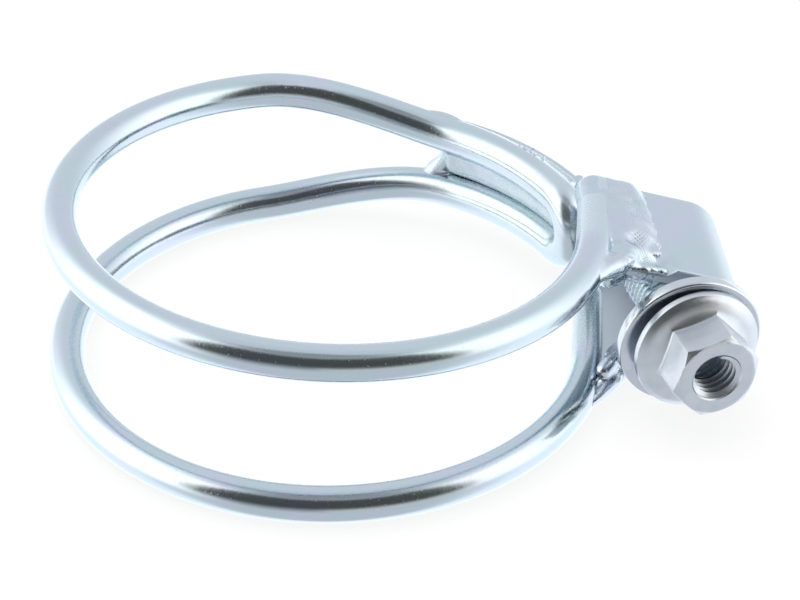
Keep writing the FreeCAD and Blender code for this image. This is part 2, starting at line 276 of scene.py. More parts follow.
def metalMaterial(name, finish, straightened=False):
    # polished metal: soft clouds of tint, fine crystals, dull specks and the waviness of the blank
    material, add = newMaterial(name)
    if straightened:
        alongWire = add("Attribute", {"attribute_name": "straightened"})
        place = alongWire.outputs["Vector"]
    else:
        place = add("TexCoord").outputs["Object"]
    patterns = [("tintSize", 3.0, place), ("grain", 2.0, place), ("peel", 1.0, place)]
    if finish["drawnDepth"]:
        stretch = {"Scale": (finish["drawnStretch"], 1, 1)}
        stretched = add("Mapping", stretch, {"Vector": place})
        patterns.append(("drawn", 3.0, stretched))
    fields = {}
    for pattern, detail, where in patterns:
        settings = {"Scale": 1 / (finish[pattern] * mm), "Detail": detail}
        fields[pattern] = add("TexNoise", settings, {"Vector": where})
    tints = zip(spread(*finish["tintSpread"], len(finish["tints"]) - 1), finish["tints"])
    colour = colourSteps(add, fields["tintSize"], list(tints))

    speckScale = {"Scale": 1 / (finish["speckSize"] * mm)}
    cells = add("TexVoronoi", speckScale, {"Vector": place})
    inner, outer = finish["speckRim"]
    spots = colourSteps(add, cells, [(inner, 1.0), (outer, 0.0)])
    bare = 1 - finish["speckShare"]
    chosen = colourSteps(add, cells.outputs["Color"], [(bare, 0.0), (bare + 0.02, 1.0)])
    specks = add("Math", {"operation": "MULTIPLY"}, {0: spots, 1: chosen})
    low, high = finish["grainSpread"]
    polish = {"To Min": finish["roughLow"], "To Max": finish["roughHigh"]}
    smoothness = add(
        "MapRange", {"From Min": low, "From Max": high, **polish},
        {"Value": fields["grain"]},
    )
    rough = add(
        "MapRange", {"To Max": finish["speckRough"]},
        {"Value": specks, "To Min": smoothness},
    )
    worked = add("Attribute", {"attribute_name": "worked"}).outputs["Fac"]
    rough = add(
        "Math", {"operation": "MULTIPLY_ADD", 1: finish["workedRough"]},
        {0: worked, 2: rough},
    )

    relief = {}
    for pattern in ("peel", "grain", "drawn"):
        if pattern in fields:
            settings = {"Strength": 1.0, "Distance": finish[pattern + "Depth"] * mm}
            links = {"Height": fields[pattern], **relief}
            relief = {"Normal": add("Bump", settings, links)}
    # unpolished skin keeps a milky film of zinc, which scatters light like paint
    shine = add("Math", {"operation": "MULTIPLY_ADD", 1: -finish["film"], 2: 1.0}, {0: worked})
    metal = add(
        "BsdfPrincipled", {},
        {"Base Color": colour, "Metallic": shine, "Roughness": rough, **relief},
    )
    add("OutputMaterial", {}, {"Surface": metal})
    return material


# drawn wire with bright zinc: sharp bands of light, broken by specks and the die's faint lines
wireFinish = dict(brightZinc, drawnDepth=0.0025)
wireZinc = metalMaterial("brightZincDrawnWire", wireFinish, straightened=True)
# rolled strip with bright zinc: flat, soft reflections
sheetFinish = dict(brightZinc, grainDepth=0.0015, peelDepth=0.004, roughLow=0.32, roughHigh=0.42)
sheetZinc = metalMaterial("brightZincSheet", sheetFinish)
# weld metal with bright zinc: small glints on a grainy skin
weldFinish = dict(
    brightZinc, grainDepth=0.004, peel=1.2, peelDepth=0.012, roughLow=0.16, roughHigh=0.28,
)
weldZinc = metalMaterial("brightZincWeld", weldFinish)
# rolled thread with bright zinc: a line of light on each flank
threadZinc = metalMaterial("brightZincThread", brightZinc)
# machined stainless steel: grey and satin, with hardly a speck
nutFinish = dict(
    brightZinc, tints=["#C1C8CF", "#C7CDD4", "#C3CAD1", "#CAD0D7"], tintSize=7.0,
    tintSpread=(0.28, 0.61), grain=0.35,
    grainDepth=0.0006, peel=1.5, peelDepth=0.003, speckShare=0.15, roughLow=0.28, roughHigh=0.36,
    speckRough=0.45,
)
nutSteel = metalMaterial("machinedStainless", nutFinish)
# stamped stainless steel: the same grey with the sheet's gloss
washerSteel = metalMaterial("stampedStainless", dict(nutFinish, roughLow=0.18, roughHigh=0.26))
print("materials made")


# wire loop

def buildWire():
    bm = bmesh.new()
    frames = lineFrames(wireLine())
    total = frames[-1][0]
    radius = wire["radius"]
    cut = radius - wire["endChamfer"]
    stations = [(frames[0], cut)] + [(f, radius) for f in frames[1:-1]] + [(frames[-1], cut)]

    def place(station, turn):
        (_, point, across, beside), r = station
        a = 2 * pi * turn
        return point + across * r * cos(a) + beside * r * sin(a)

    sweptSkin(bm, stations, wire["sides"], place)
    # distance along the wire, for patterns that follow it, and its dull and milky skin
    straightLayer = bm.verts.layers.float_vector.new("straightened")
    workedLayer = bm.verts.layers.float.new("worked")
    turnLayer = bm.verts.layers.float["turn"]
    for k, vert in enumerate(bm.verts):
        distance = frames[k // wire["sides"]][0]
        a = 2 * pi * vert[turnLayer]
        vert[straightLayer] = (distance, radius * cos(a), radius * sin(a))
        fromTurn = abs(distance - total / 2)
        fromEnd = min(distance, total - distance)
        dull = easeIn(wire["dullReach"] - fromTurn, 0, wire["dullReach"] / 2)
        film = easeIn(wire["filmReach"] - fromEnd, 0, wire["filmEdge"]) * (0.5 - 0.5 * cos(a))
        vert[workedLayer] = max(wire["dullShare"] * dull, wire["filmShare"] * film)
    finishMesh("wireLoop", bm, "clamp", ["wire_loop"], wireZinc)


buildWire()


# where the stud, nut and washer sit

studPlace = {
    "angle": 19.0,
    "offset": 50.8 * mm,  # pipe's axis to the stud's axis
    "height": 12.9 * mm,
    "rise": 1.5,  # degrees, towards the nut
    "tail": 14.0 * mm,  # behind the place where it passes closest to the pipe's axis
    "front": 37.703 * mm,  # its end inside the nut
    "washerSeat": 30.872 * mm, "washerSag": 0.2 * mm, "washerLean": 4.5, "washerNod": 4.5,
    "nutSeat": 33.203 * mm,
}


def turned(axis, degrees):
    return Matrix.Rotation(radians(degrees), 4, axis)


studFrame = (
    Matrix.Translation(along(studPlace["angle"]) * studPlace["offset"] + up * studPlace["height"])
    @ turned("Z", studPlace["angle"]) @ turned("X", -studPlace["rise"])
)
outAlongStud = turned("X", 90)  # a piece made along +Z then leaves along the stud
studMatrix = studFrame @ outAlongStud
nutMatrix = studFrame @ Matrix.Translation((0, -studPlace["nutSeat"], 0)) @ outAlongStud
washerMatrix = (
    studFrame @ Matrix.Translation((0, -studPlace["washerSeat"], -studPlace["washerSag"]))
    @ turned("Z", -studPlace["washerLean"]) @ turned("X", studPlace["washerNod"]) @ outAlongStud
)

thread = {
    "pitch": 1.25 * mm, "crest": 4.0 * mm, "root": 3.22 * mm, "crestFlat": 0.16 * mm,
    "rootFlat": 0.19 * mm,
    "footDepth": 0.02 * mm,  # of a ridge's foot in the metal that carries it
    "runIn": 0.4 * mm,  # from the stud's end to its first ridge
    "chamfer": 0.8 * mm, "endStep": 0.05 * mm, "nutPlay": 0.06 * mm, "nutCrest": 3.34 * mm,
    "nutRunOut": 0.2 * mm, "stepsPerTurn": 48,
}


def threadRidge(bm, start, turns, baseRadius, tipRadius, baseWidth, tipWidth):
    # a helical ridge: a closed section spun round Z while it climbs one pitch a turn
    corners = [
        (baseRadius, start - baseWidth / 2), (tipRadius, start - tipWidth / 2),
        (tipRadius, start + tipWidth / 2), (baseRadius, start + baseWidth / 2),
    ]
    face = bm.faces.new([bm.verts.new((r, 0, z)) for r, z in corners])
    perTurn = thread["stepsPerTurn"]
    steps = round(turns * perTurn)
    bmesh.ops.spin(
        bm, geom=[face], axis=(0, 0, 1), dvec=(0, 0, thread["pitch"] / perTurn),
        angle=2 * pi * steps / perTurn, steps=steps,
    )


def spunProfile(bm, corners, segments):
    # a closed ring of (radius, height) corners turned once round Z
    verts = [bm.verts.new((r, 0, z)) for r, z in corners]
    edges = [bm.edges.new((verts[k - 1], verts[k])) for k in range(len(verts))]
    bmesh.ops.spin(
        bm, geom=verts + edges, axis=(0, 0, 1), angle=2 * pi,
        steps=segments, use_merge=True,
    )


# stud

def buildStud():
    bm = bmesh.new()
    tail, front = -studPlace["tail"], studPlace["front"]
    crest, root, pitch = thread["crest"], thread["root"], thread["pitch"]
    face, step = crest - thread["chamfer"], thread["endStep"]
    axis = mergeGap / 2  # so small that the end closes when its points merge
    corners = [
        (axis, tail), (face, tail), (root, tail + step),
        (root, front - step), (face, front), (axis, front),
    ]
    spunProfile(bm, corners, thread["stepsPerTurn"])
    turns = (front - tail - 2 * thread["runIn"]) / pitch
    threadRidge(
        bm, tail + thread["runIn"], turns, root - thread["footDepth"], crest,
        pitch - thread["rootFlat"], thread["crestFlat"],
    )
    for vert in bm.verts:
        allowed = face + max(min(vert.co.z - tail, front - vert.co.z), 0)
        r = hypot(vert.co.x, vert.co.y)
        if r > allowed:
            vert.co.x *= allowed / r
            vert.co.y *= allowed / r
        vert.co.z = min(max(vert.co.z, tail), front)
    bmesh.ops.transform(bm, matrix=studMatrix, verts=bm.verts)
    finishMesh("threadedStud", bm, "clamp", ["stud"], threadZinc, 25)


buildStud()


# washer

washer = {
    "radius": 11.8 * mm, "hole": 4.5 * mm, "thickness": 2.0 * mm,
    "rollOver": 0.45 * mm,  # rounded edge that the punch leaves on the front
    "holeRound": 0.27 * mm, "burr": 0.12 * mm,
    "burrBulge": 0.3,  # share of the burr that its corner keeps
    "segments": 160,
}


def buildWasher():
    bm = bmesh.new()
    half = washer["thickness"] / 2
    outer, hole = washer["radius"], washer["hole"]
    roll, inner, burr = washer["rollOver"], washer["holeRound"], washer["burr"]
    bulge = burr * washer["burrBulge"]
    corners = []
    for a in spread(0, pi / 2, 6):
        corners.append((outer - roll + roll * sin(a), half - roll + roll * cos(a)))
    corners += [
        (outer, burr - half), (outer - bulge, bulge - half), (outer - burr, -half),
        (hole + burr, -half), (hole, burr - half),
    ]
    for a in spread(0, pi / 2, 4):
        corners.append((hole + inner * (1 - cos(a)), half - inner * (1 - sin(a))))
    spunProfile(bm, corners, washer["segments"])
    bmesh.ops.transform(bm, matrix=washerMatrix, verts=bm.verts)
    finishMesh("plainWasher", bm, "washer", ["washer"], washerSteel, 35)


buildWasher()


# flange nut

nut = {
    "acrossFlats": 13.0 * mm, "height": 9.5 * mm, "turned": 12.0, "sideSteps": 11,
    "cornerRound": 0.25 * mm, "cornerDrop": 0.65 * mm,
    "faceInset": 0.08 * mm,  # from a flat to where the corners' chamfer starts
    "faceEdge": [(-0.45, 0.0), (-0.12, 0.0), (0.10, -0.05)],  # mm, from there and up
    "cornerEdge": (0.07, 0.12),  # mm, inwards on the chamfer and down on the flat
    "foot": [(0.0, 0.35), (0.08, 0.12)],  # mm, out and up from where a flat meets the cone
    "footReach": 0.32 * mm,
    # mm, radius and height of the flange's cone, and the radii of its rings outside the hexagon
    "cone": [(10.4, 1.3), (9.9, 1.72), (9.5, 2.0), (9.1, 2.2), (8.6, 2.4), (6.8, 2.98)],
    "coneRings": [8.3, 8.6, 8.85, 9.1, 9.3, 9.5, 9.7, 9.9],
    "flange": 10.4 * mm, "rim": 1.3 * mm, "rimRound": 0.35 * mm, "rimSquash": 0.75,
    "rimLift": -0.1075 * mm, "seatChamfer": 0.2 * mm, "bore": 4.05 * mm,
    "countersink": 0.2 * mm, "sinkDepth": 0.24 * mm, "sinkRim": 0.08 * mm,
}
hexagonShare = cos(radians(30))  # of a hexagon's corner radius that its flats reach


def hexRing():
    # (direction, radius) round the hexagon, with closely spaced points at its rounded corners
    apothem = nut["acrossFlats"] / 2
    r = nut["cornerRound"]
    edge = (apothem - r) * tan(radians(30))
    centre = (apothem - r) / hexagonShare
    ring = []
    for side in range(6):
        flat = 60 * side + nut["turned"] + 30
        for x in spread(-edge, edge, nut["sideSteps"]):
            ring.append((radians(flat) + atan2(x, apothem), hypot(x, apothem)))
        for degrees in (-15, 0, 15):
            a = radians(degrees)
            x, y = centre + r * cos(a), r * sin(a)
            ring.append((radians(flat + 30) + atan2(y, x), hypot(x, y)))
    return ring


def nutProfile(r):
    # (radius, height) from the bore's front over hexagon and flange and back through the bore, in
    # a direction where the hexagon's radius is r
    high, bore, sink = nut["height"], nut["bore"], nut["countersink"]
    rim, flange, foot = nut["rimRound"], nut["flange"], nut["footReach"]
    apothem = nut["acrossFlats"] / 2
    face = apothem - nut["faceInset"]
    drop = nut["cornerDrop"] / (apothem / hexagonShare - face)

    def chamferHeight(r):
        return high - drop * (r - face)

    def coneHeight(r):
        for (outer, low), (inner, top) in zip(nut["cone"], nut["cone"][1:]):
            if r / mm >= inner:
                break
        return (low + (top - low) * (outer - r / mm) / (outer - inner)) * mm

    corners = [
        (bore, high - nut["sinkDepth"]), (bore + sink, high), (bore + sink + nut["sinkRim"], high),
    ]
    corners += [(face + out * mm, high + lift * mm) for out, lift in nut["faceEdge"]]
    edge, sag = corners[-1][0], corners[-1][1] - high
    for share in (0.25, 0.5, 0.75):
        reach = edge + (r - edge) * share
        corners.append((reach, chamferHeight(reach) + sag * (1 - share)))
    inwards, down = nut["cornerEdge"]
    corners += [
        (r - inwards * mm, chamferHeight(r)), (r, chamferHeight(r) - down * mm),
        (r, (chamferHeight(r) + coneHeight(r)) / 2),
    ]
    corners += [(r + out * mm, coneHeight(r) + lift * mm) for out, lift in nut["foot"]]
    corners.append((r + foot, coneHeight(r + foot)))
    corners += [(radius * mm, coneHeight(radius * mm)) for radius in nut["coneRings"]]
    for a in spread(0, pi / 2, 4)[1:]:
        lift = nut["rimLift"] + rim * cos(a) * nut["rimSquash"]
        corners.append((flange - rim * (1 - sin(a)), nut["rim"] + lift))
    corners += [(flange, nut["seatChamfer"]), (flange - nut["seatChamfer"], 0)]
    return corners + [(bore + sink, 0), (bore, sink), corners[0]]


def buildNut():
    bm = bmesh.new()
    ring = hexRing()
    profiles = [nutProfile(reach) for _, reach in ring]

    def place(station, turn):
        k = round(turn * len(ring)) % len(ring)
        r, z = profiles[k][station]
        return Vector((r * cos(ring[k][0]), r * sin(ring[k][0]), z))

    sweptSkin(bm, range(len(profiles[0])), len(ring), place, closeEnds=False)
    # the thread's phase carries on from the stud's, whose ridge starts at its tail
    pitch = thread["pitch"]
    first = thread["runIn"] - studPlace["tail"]
    gap = studPlace["nutSeat"] - first
    start = first + (floor(gap / pitch) + 1.5) * pitch - studPlace["nutSeat"]
    end = nut["height"] - nut["countersink"] - thread["nutRunOut"]
    threadRidge(
        bm, start, (end - start) / pitch, nut["bore"] + thread["footDepth"], thread["nutCrest"],
        pitch - thread["crestFlat"] - 2 * thread["nutPlay"], thread["rootFlat"],
    )
    bmesh.ops.transform(bm, matrix=nutMatrix, verts=bm.verts)
    finishMesh("flangeNut", bm, "nut", ["flange_nut"], nutSteel, 30)


buildNut()


# saddle

saddle = {
    "angle": 6.5,
    "front": 14.2 * mm,  # from its middle
    "rake": 2.6,  # lower leg set back
    "back": 9.0 * mm,
    "reach": 22.6 * mm,  # loop's middle line to the web's outer face
    "slope": 17.5,
    "bendRadius": 4.2 * mm,  # inside
    "thickness": 3.0 * mm, "edgeRound": 0.45 * mm,
    "endSink": 0.6 * mm,  # of a leg's end past the wire's middle
    "endSquare": 2.0 * mm,  # the front of that end that runs on square
    "melt": 2.0 * mm,  # depth that the weld took from the leg's front corner
    "meltFrom": 9.0 * mm,  # where it starts, from the middle
    "meltReach": 54.6 * mm,  # and how far out it goes
    "meltEdge": 2.2 * mm, "bendSteps": 14, "legSteps": 16, "faceSteps": 24,
}
saddleFrame = (
    Matrix.Translation(up * midHeight(saddle["angle"]))
    @ turned("Z", saddle["angle"]) @ turned("X", -studPlace["rise"])
)


def legHeight(x):
    # where the middle of a leg's strip lies above the saddle's middle
    drop = tan(radians(saddle["slope"])) * (x - wire["loopRadius"])
    return ringSpacing(saddle["angle"]) / 2 - drop


def frontEdge(z):
    # where the saddle's front edge lies at a height
    return -saddle["front"] - z * tan(radians(saddle["rake"]))


def saddleStations():
    # (share of the leg still to run, x, z, normal x, normal z) from the upper leg to the lower
    slope = radians(saddle["slope"])
    middle = saddle["bendRadius"] + saddle["thickness"] / 2
    web = wire["loopRadius"] + saddle["reach"] - saddle["thickness"] / 2
    tangent = middle * tan((pi / 2 - slope) / 2)
    bendX = web - tangent * cos(slope)
    bendZ = legHeight(web) + tangent * sin(slope)
    centreX = bendX - middle * sin(slope)
    centreZ = bendZ - middle * cos(slope)
    stations = []
    for k in range(saddle["legSteps"]):
        share = 1 - k / saddle["legSteps"]
        stations.append((share, bendX, bendZ, sin(slope), cos(slope)))
    for a in spread(slope, pi / 2, saddle["bendSteps"]):
        nx, nz = sin(a), cos(a)
        stations.append((0, centreX + middle * nx, centreZ + middle * nz, nx, nz))
    return stations + [(share, x, -z, nx, -nz) for share, x, z, nx, nz in stations[::-1]]


def saddleSection():
    # (share from front to back, offset along, offset through) round the strip's section
    half, r = saddle["thickness"] / 2, saddle["edgeRound"]
    corner = spread(0, pi / 2, 4)[1:-1]
    ring = [(f, r * (1 - 2 * f), half) for f in spread(0, 1, saddle["faceSteps"])]
    ring += [(1, r * sin(a) - r, half - r + r * cos(a)) for a in corner]
    ring += [(1, 0, half - r), (1, 0, 0), (1, 0, r - half)]
    ring += [(1, r * cos(a) - r, r - half - r * sin(a)) for a in corner]
    # the inner face and the front edge, half a turn on from the outer face and the back edge
    return ring + [(1 - f, -offset, -through) for f, offset, through in ring]


def buildSaddle():
    bm = bmesh.new()
    section = saddleSection()
    count = len(section)
    half, loop = saddle["thickness"] / 2, wire["loopRadius"]

    def place(station, turn):
        share, x, z, nx, nz = station
        side = 1 if z > 0 else -1
        f, offset, through = section[round(turn * count) % count]

        def at(z):
            return frontEdge(z) * (1 - f) + saddle["back"] * f + offset

        if share > 0:
            # the leg's inner end follows the wire, and lies inside it
            y = min(at(side * legHeight(loop)) + saddle["endSquare"], 0)
            inner = sqrt(max(loop ** 2 - y ** 2, 0)) + saddle["endSink"]
            x += (inner - x) * share
            z = side * legHeight(x)
        if through > 0 and share > 0:
            # the corner that melted into the weld
            melted = easeIn(-at(z), saddle["meltFrom"], saddle["front"])
            melted *= easeIn(saddle["meltReach"] - x, 0, saddle["meltEdge"])
            through *= 1 - saddle["melt"] * melted / half
        x += nx * through
        z += nz * through
        return saddleFrame @ Vector((x, at(z), z))

    sweptSkin(bm, saddleStations(), count, place)
    markWorked(bm, lambda k, place: easeIn(-section[k % count][2], -half, half))
    finishMesh("foldedSaddle", bm, "clamp", ["saddle"], sheetZinc)


buildSaddle()


# anchor plate

plate = {
    "inner": 46.1 * mm, "thickness": 2.5 * mm, "width": 11.0 * mm, "start": 25.0,
    "end": 63.0, "edgeRound": 0.3 * mm, "endRound": 0.25 * mm,
    "unpolished": 0.2 * mm,  # depth of the inner face's dull skin
    "steps": 30,
}


def buildPlate():
    bm = bmesh.new()
    low = midHeight((wire["neckEnd"] + wire["turnAngle"]) / 2) - plate["width"] / 2
    high = low + plate["width"]
    inner, outer = plate["inner"], plate["inner"] + plate["thickness"]
    r = plate["edgeRound"]
    corners = []
    for k, (x, z) in enumerate((
        (outer - r, high - r), (inner + r, high - r), (inner + r, low + r), (outer - r, low + r),
    )):
        for turn in spread(0, pi / 2, 3):
            a = turn + pi / 2 * k
            corners.append((x + r * cos(a), z + r * sin(a)))
    face = bm.faces.new([bm.verts.new((x, 0, z)) for x, z in corners])
    bmesh.ops.transform(bm, matrix=turned("Z", plate["start"]), verts=bm.verts)
    bmesh.ops.spin(
        bm, geom=[face], axis=(0, 0, 1),
        angle=radians(plate["end"] - plate["start"]), steps=plate["steps"],
    )
    rims = list({edge for f in bm.faces if len(f.verts) > 4 for edge in f.edges})
    bmesh.ops.bevel(
        bm, geom=rims, offset=plate["endRound"], affect="EDGES", segments=2, profile=0.5,
        material=-1,
    )
    dullTo = inner + plate["unpolished"]
    markWorked(bm, lambda k, place: 1.0 if hypot(place.x, place.y) < dullTo else 0.0)
    finishMesh("anchorPlate", bm, "clamp", ["anchor_plate"], sheetZinc, 35)


buildPlate()


# welds, each fused from overlapping lumps of metal

weld = {
    "voxel": 0.28 * mm,  # the lumps are fused at this size
    "lastRounds": 2,  # of smoothing, once the skin is divided again
    "gap": 0.7 * mm,  # from lump to lump
    "lumpDetail": 3,
    "cover": 3.08 * mm,  # from the wire's middle to the skin of weld metal on it
    "skin": 2.3 * mm,
    "scalesFrom": 44.5 * mm,  # a bead's scales start here, out from the pipe's axis
    "scalesFull": 46.0 * mm, "scaleDrift": 0.4, "waveSize": 2.5 * mm,
    "waveDepth": 0.07 * mm, "film": 0.3,
}


def ball(radius):
    return (radius, radius, radius)


def widths(*sizes):
    # half widths from millimetres, where one value makes a ball
    return [size * mm for size in (sizes * 3)[:3]]


def lump(bm, place, sizes, turn=None):
    # a ball squeezed to its half widths along the axes of turn
    matrix = Matrix.Translation(place) @ (turn or Matrix.Identity(4)) @ Matrix.Diagonal((*sizes, 1))
    bmesh.ops.create_icosphere(bm, subdivisions=weld["lumpDetail"], radius=1, matrix=matrix)


def run(bm, path, turn=None, gap=weld["gap"]):
    # lumps along a path of (place, sizes)
    for start, end in zip(path, path[1:]):
        (a, sizesA), (b, sizesB) = map(Vector, start), map(Vector, end)
        steps = max(1, ceil((b - a).length / gap))
        for k in range(steps + 1):
            lump(bm, a.lerp(b, k / steps), sizesA.lerp(sizesB, k / steps), turn)


def skinLump(bm, middle, way, proud=0):
    # metal on one side of the wire, whose middle is given
    lump(bm, middle + way * (weld["cover"] + proud - weld["skin"]), ball(weld["skin"]))


def wireSkin(bm, side, first, last, tilt):
    # metal on the wire's flank, from one distance from the wire's end to another
    line = strandLine(side)
    lean = radians(tilt)
    for (distance, point, _, _), (_, outward) in zip(lineFrames(line), line):
        if first <= distance <= last:
            way = (outward * cos(lean) + up * side * sin(lean)).normalized()
            skinLump(bm, point, way)


def finishWeld(name, node, bm, size, surface, dull=None):
    # the lumps as one closed skin, smoothed, then moved along its normals by surface(place);
    # dull(place) is how much of the milky film it keeps
    rough = bpy.data.meshes.new("lumps")
    bm.to_mesh(rough)
    bm.free()
    holder = addObject("lumps", rough)
    remesh = holder.modifiers.new("fuse", "REMESH")
    remesh.mode = "VOXEL"
    remesh.voxel_size = weld["voxel"]
    evaluated = holder.evaluated_get(bpy.context.evaluated_depsgraph_get())
    solid = bpy.data.meshes.new_from_object(evaluated)
    skin = bmesh.new()
    skin.from_mesh(solid)
    bpy.data.batch_remove((holder, rough, solid))
    smoothing = {"factor": 0.5, "use_axis_x": True, "use_axis_y": True, "use_axis_z": True}
    for k in range(size["rounds"]):
        bmesh.ops.smooth_vert(skin, verts=skin.verts, **smoothing)
    bmesh.ops.subdivide_edges(skin, edges=skin.edges, cuts=1, use_grid_fill=True)
    for k in range(weld["lastRounds"]):
        bmesh.ops.smooth_vert(skin, verts=skin.verts, **smoothing)
    skin.normal_update()
    for vert in skin.verts:
        vert.co += vert.normal * surface(vert.co)
    if dull:
        markWorked(skin, lambda k, place: dull(place))
    finishMesh(name, skin, "clamp", [node], weldZinc, 180)


saddleWeld = {
    # everything is in mm here, from the saddle's middle: out from the pipe's axis, along the pipe's
    # tangent, then depth below the leg's face or height, then half widths, or one for a ball
    # the dome, from back to front, and the fill between it and the wire
    "dome": [
        (48.1, 7.0, 0.3, 4.7, 2.0, 2.3), (48.1, -4.5, 0.3, 4.75, 2.0, 2.6),
        (48.1, -7.3, 0.6, 4.75, 2.0, 2.4), (48.0, -9.8, 1.45, 4.7, 1.9, 2.1),
        (48.0, -11.9, 2.5, 4.5, 1.8, 1.9), (48.0, -13.0, 3.2, 4.2, 1.5, 1.7),
    ],
    "shoulder": [
        (45.4, 4.5, 0.5, 1.8), (45.6, -7.5, 0.5, 1.9),
        (45.9, -10.0, 0.7, 1.9), (46.2, -12.0, 1.3, 1.8),
    ],
    # the thin edge on the leg
    "skirt": {"out": 51.9, "start": -10.2, "end": 7.4, "steps": 29, "depth": 0.1},
    "skirtWidths": (1.35, 1.2, 0.5), "skirtWander": 0.45, "skirtWave": 2.2,
    # over the wire's end and, as the toe, along its outer flank, by height from its middle
    "overEnd": [(43.9, 1.5, 0.0, 3.04, 0.8, 3.04), (44.2, 7.6, -0.1, 3.04, 0.8, 3.04)],
    "toe": [
        (46.6, -11.4, -0.8, 2.8, 1.6, 1.9), (45.6, -13.4, -1.1, 2.6, 1.5, 1.9),
        (44.3, -15.6, -0.6, 2.0, 1.4, 1.9), (42.9, -17.2, -0.2, 1.7, 1.3, 1.6),
        (41.6, -18.7, 0.0, 1.5, 1.2, 1.2), (40.5, -20.2, 0.0, 1.0, 1.1, 0.9),
    ],
    "strandRise": 0.032,  # of the strands, which open out towards the front
    # metal that ran through under the leg, by height from the saddle's middle
    "root": [
        (43.2, -15.9, 8.7, 1.35), (44.4, -14.7, 8.2, 1.4),
        (45.8, -13.4, 8.2, 1.25), (47.2, -12.6, 8.0, 0.9),
    ],
    # metal down the leg's front face
    "apron": [
        (46.2, -13.4, 1.9, 1.3, 1.0, 1.2), (48.6, -13.6, 2.2, 1.3, 1.0, 1.2),
        (50.8, -13.5, 2.2, 1.2, 1.0, 1.3), (52.8, -13.3, 1.9, 0.9, 0.9, 1.2),
    ],
    "wireSkin": (1.0 * mm, 28.0 * mm, 35.0), "rounds": 12,
    # the ripples, which bow back as they run out over the leg, and where they fade in and out
    "ripple": 0.95, "rippleDepth": 0.13, "bow": 6.5, "bowFrom": 46.5, "bowReach": 5.5,
    "bowPower": 1.6, "rippleOut": (47.2, 49.4), "rippleFront": (-14.5, -11.5),
    "rippleBack": (-7.5, -4.5), "drift": 0.6, "driftSize": 3.0, "patchSize": 2.5,
    "patchRange": (-0.35, 0.15), "waveSize": 2.6, "waveDepth": 0.22,
    "waveOut": (44.0, 47.0),
    # the front, torn and pimpled
    "tornSize": 0.8, "tornDepth": 0.16, "tornFront": (12.6, 14.4), "tornOut": (44.8, 46.5),
    # gas pits: (out, along, radius, depth)
    "pits": [
        (46.0, 4.4, 0.35, 0.30), (46.9, 3.1, 0.25, 0.22), (44.4, -10.8, 0.25, 0.2),
        (43.6, -9.6, 0.2, 0.15), (42.4, -13.3, 0.3, 0.3), (52.6, -8.6, 0.3, 0.3),
        (52.9, -9.6, 0.35, 0.35),
    ],
}


def buildSaddleWeld(side, name, node):
    bm = bmesh.new()
    size = saddleWeld
    leg = turned("Y", side * saddle["slope"])
    faceLift = saddle["thickness"] / 2 / cos(radians(saddle["slope"]))
    wireHeight = ringSpacing(saddle["angle"]) / 2

    def onLeg(out, y, depth):
        return (out * mm, y * mm, side * (legHeight(out * mm) + faceLift - depth * mm))

    def legPath(rows):
        return [(onLeg(*row[:3]), widths(*row[3:])) for row in rows]

    def wirePath(rows):
        path = []
        for out, y, height, *sizes in rows:
            rise = size["strandRise"] * max(-y - 1, 0)
            place = (out * mm, y * mm, side * (wireHeight + (height + rise) * mm))
            path.append((place, widths(*sizes)))
        return path

    run(bm, legPath(size["dome"]), leg)
    run(bm, legPath(size["shoulder"]))
    skirt = size["skirt"]
    for y in spread(skirt["start"], skirt["end"], skirt["steps"]):
        uneven = noise.noise(Vector((y / size["skirtWave"], 3.3 * side, 0)))
        place = onLeg(skirt["out"] + size["skirtWander"] * uneven, y, skirt["depth"])
        lump(bm, place, widths(*size["skirtWidths"]), leg)
    run(bm, wirePath(size["overEnd"]))
    run(bm, wirePath(size["toe"]))
    run(bm, [((out * mm, y * mm, side * z * mm), widths(r)) for out, y, z, r in size["root"]])
    run(bm, legPath(size["apron"]), leg)
    bmesh.ops.transform(bm, matrix=saddleFrame, verts=bm.verts)
    wireSkin(bm, side, *size["wireSkin"])
    inverse = saddleFrame.inverted()

    def wave(x, y, length, seed):
        return noise.noise(Vector((x / length, y / length, seed * side)))

    def ripple(x, y):
        # (height of the ripple from -1 to 1, how strong it is there)
        lead = size["bow"] * max((x - size["bowFrom"]) / size["bowReach"], 0) ** size["bowPower"]
        phase = (y + lead) / size["ripple"] + wave(x, y, size["driftSize"], 4.1) * size["drift"]
        strong = easeIn(x, *size["rippleOut"]) * easeIn(y, *size["rippleFront"])
        strong *= easeIn(-y, *size["rippleBack"])
        strong *= easeIn(wave(x, y, size["patchSize"], 2.7), *size["patchRange"])
        return cos(2 * pi * phase), strong

    def surface(place):
        spot = (inverse @ place) / mm
        x, y, z = spot
        if side * z * mm < 0.5 * wireHeight:
            return 0
        height, strong = ripple(x, y)
        push = size["rippleDepth"] * 0.5 * height * strong
        uneven = wave(x, y, size["waveSize"], 9.3)
        push += uneven * size["waveDepth"] * easeIn(x, *size["waveOut"])
        torn = noise.noise(spot / size["tornSize"] + Vector((6.1 * side, 0, 0)))
        torn *= easeIn(-y, *size["tornFront"]) * easeIn(x, *size["tornOut"])
        push += torn * size["tornDepth"]
        for pitOut, pitAlong, radius, depth in size["pits"]:
            off = ((x - pitOut) ** 2 + (y - pitAlong) ** 2) / (radius * radius)
            if off < 6:
                push -= depth * exp(-off)
        return push * mm

    def dull(place):
        # film stays in the hollows between the ripples
        spot = (inverse @ place) / mm
        height, strong = ripple(spot.x, spot.y)
        return weld["film"] * strong * easeIn(-height, 0.0, 0.8)

    finishWeld(name, node, bm, size, surface, dull)


buildSaddleWeld(1, "saddleWeldUpper", "saddle_weld_upper")
buildSaddleWeld(-1, "saddleWeldLower", "saddle_weld_lower")


